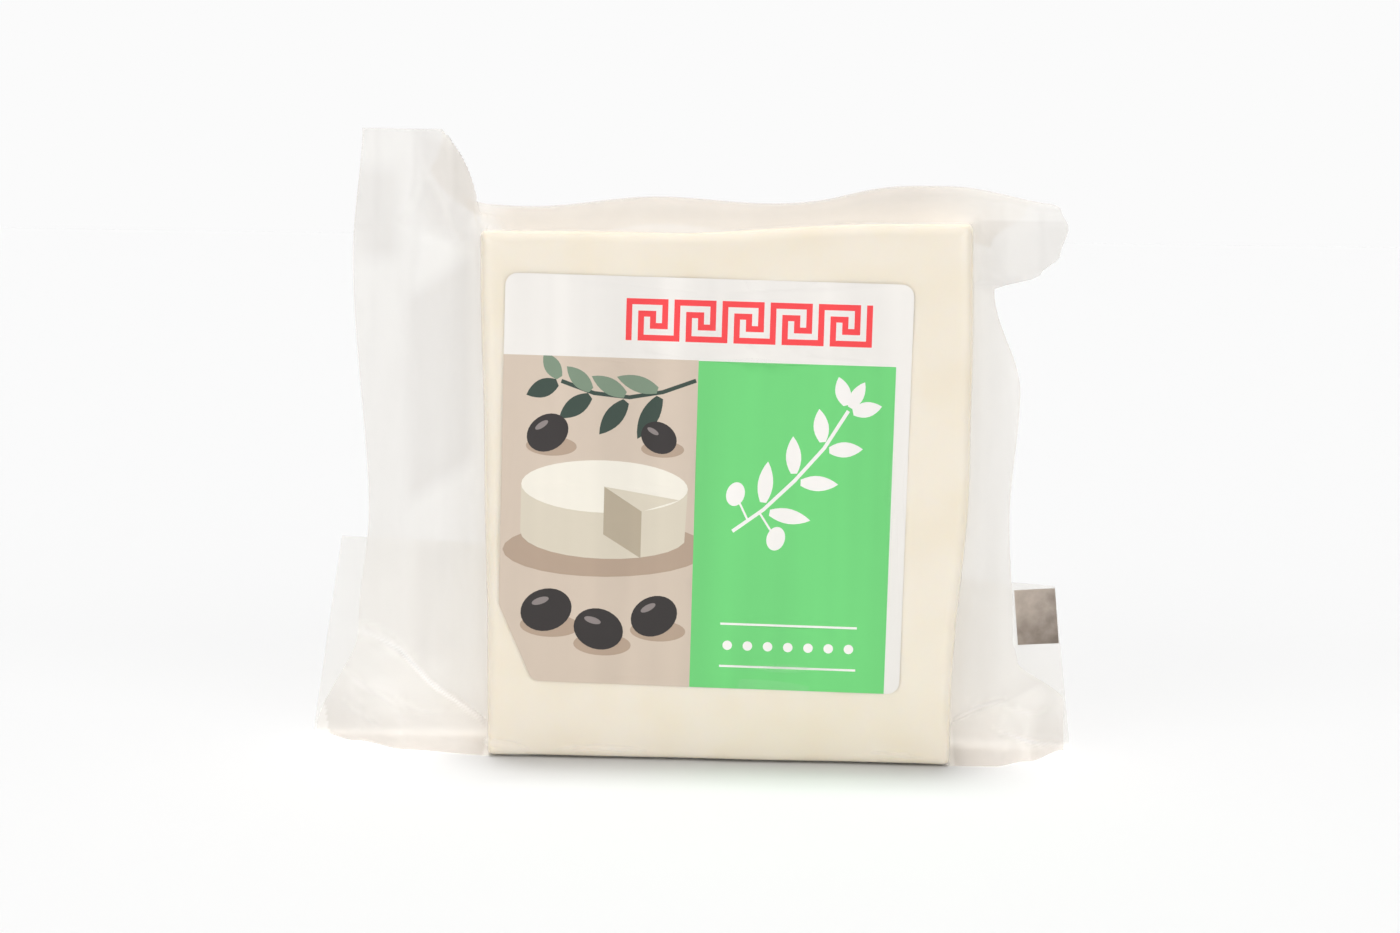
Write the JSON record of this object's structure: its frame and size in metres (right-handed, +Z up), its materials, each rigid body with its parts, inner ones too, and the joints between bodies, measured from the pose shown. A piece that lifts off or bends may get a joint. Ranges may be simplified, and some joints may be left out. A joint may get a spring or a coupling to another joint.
{
  "type": "vacuum-packed block of feta cheese",
  "caption": "Block of white cheese vacuum-sealed in a clear pouch, standing on its narrow edge, with a square label on its front.",
  "frame": {"origin": "middle of the block's flat base, where the pack stands on the table", "axes": "+Z up, -Y out of the labelled front, +X to the right of somebody who reads the label"},
  "size_m": [0.1578, 0.0286, 0.1251],
  "materials": {
    "clear_film": "clear glossy laminate drawn tight over cream-white cheese, with thin loose margins",
    "label_paper": "coated white paper printed with a green panel and a dark panel",
    "dark_ink": "grey-brown ink printed on the film"
  },
  "bodies": {
    "root": {"sealed_bag": "clear_film", "label": "label_paper", "eye_mark": "dark_ink"}
  },
  "joints": []
}
